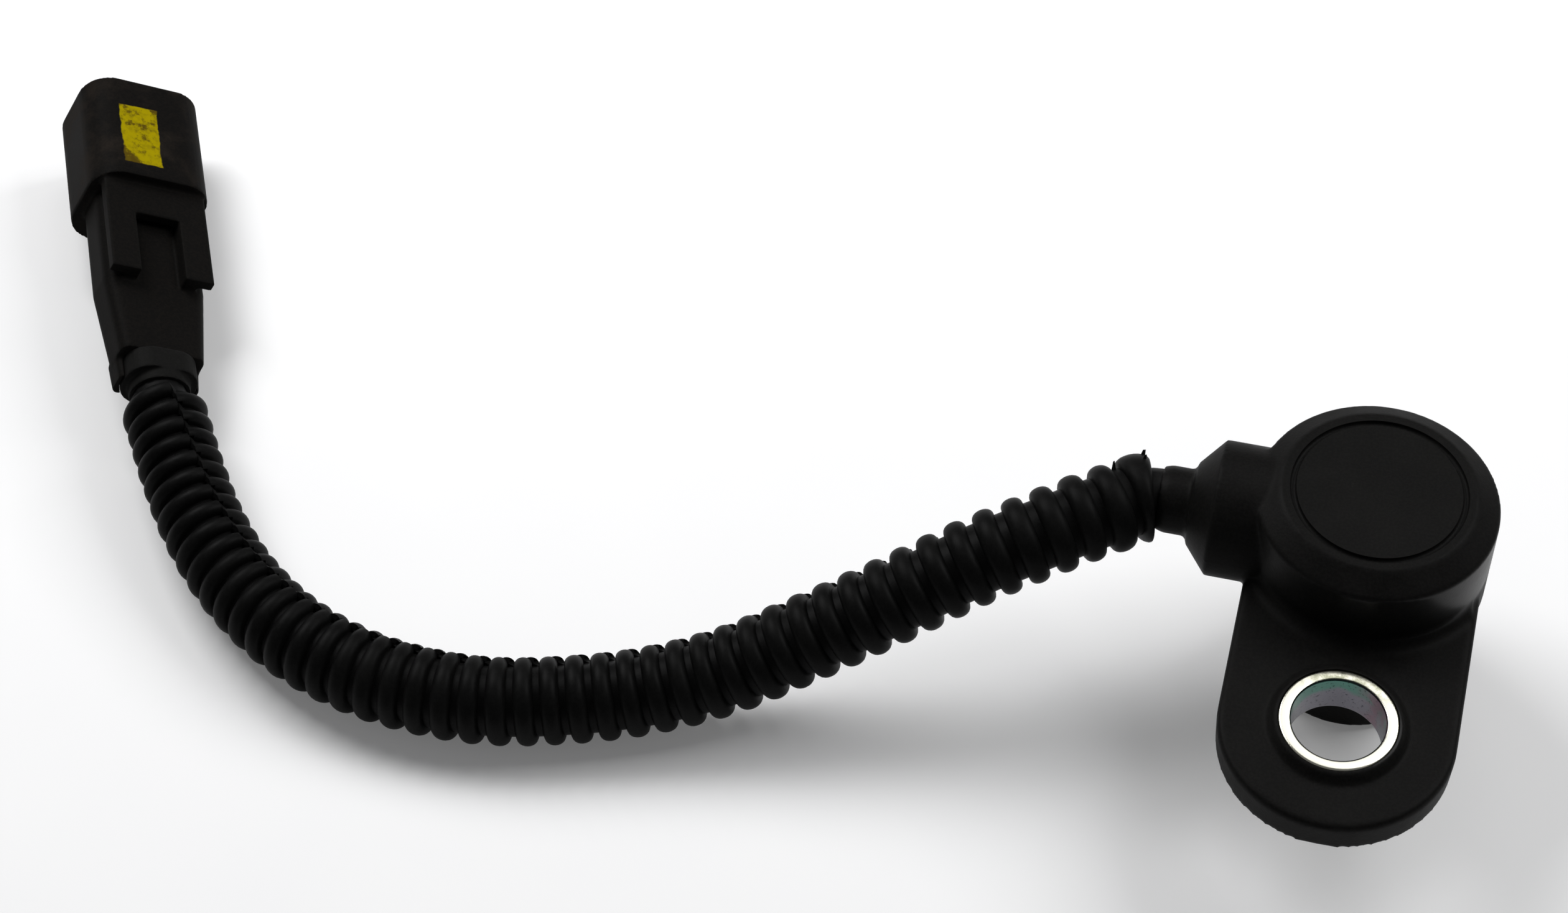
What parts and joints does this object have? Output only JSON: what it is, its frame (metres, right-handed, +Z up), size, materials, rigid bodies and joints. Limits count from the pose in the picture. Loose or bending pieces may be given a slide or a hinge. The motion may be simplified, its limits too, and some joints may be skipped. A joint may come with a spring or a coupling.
{
  "type": "crankshaft position sensor",
  "caption": "Crankshaft position sensor: a round moulded head on a nose with an O-ring and a bushed bolt flange, a cable in a split convoluted loom and a two-way plug with a rectangular hood.",
  "frame": {"origin": "centre of the nose's tip, on the nose's axis; the tip, the loom and the connector's hood lie on the plane z = 0", "axes": "+Z up along the nose, towards the head's top; the bolt hole lies towards -Y and the cable leaves towards -X"},
  "size_m": [0.1307, 0.0585, 0.022],
  "materials": {
    "moulding": "black moulded plastic with a fine grain",
    "bush_steel": "zinc plated, faintly yellow",
    "seal_rubber": "smooth black",
    "pole_iron": "ground",
    "magnet": "pressed",
    "bobbin_plastic": "natural nylon",
    "winding_copper": "enamelled copper wire",
    "tinned_contact": "tin plated",
    "lead_red": "smooth insulation",
    "lead_grey": "smooth insulation",
    "cable_jacket": "smooth black jacket",
    "loom_plastic": "black, satin",
    "boot_rubber": "soft black",
    "connector_plastic": "black moulded plastic, slightly dusty, with a worn yellow paint dab",
    "wire_seal_rubber": "soft silicone",
    "wedge_plastic": "moulded"
  },
  "bodies": {
    "root": {"sensor_body": "moulding", "compression_limiter": "bush_steel", "o_ring": "seal_rubber", "pole_piece": "pole_iron", "magnet": "magnet", "bobbin": "bobbin_plastic", "coil_winding": "winding_copper", "terminal_1": "tinned_contact", "terminal_2": "tinned_contact", "head_lead_1": "lead_red", "head_lead_2": "lead_grey", "cable": "cable_jacket", "split_loom": "loom_plastic", "rear_boot": "boot_rubber", "connector_shell": "connector_plastic", "wire_seal": "wire_seal_rubber", "plug_lead_1": "lead_red", "plug_lead_2": "lead_grey", "contact_pin_1": "tinned_contact", "contact_pin_2": "tinned_contact", "wedge_lock": "wedge_plastic"}
  },
  "joints": []
}
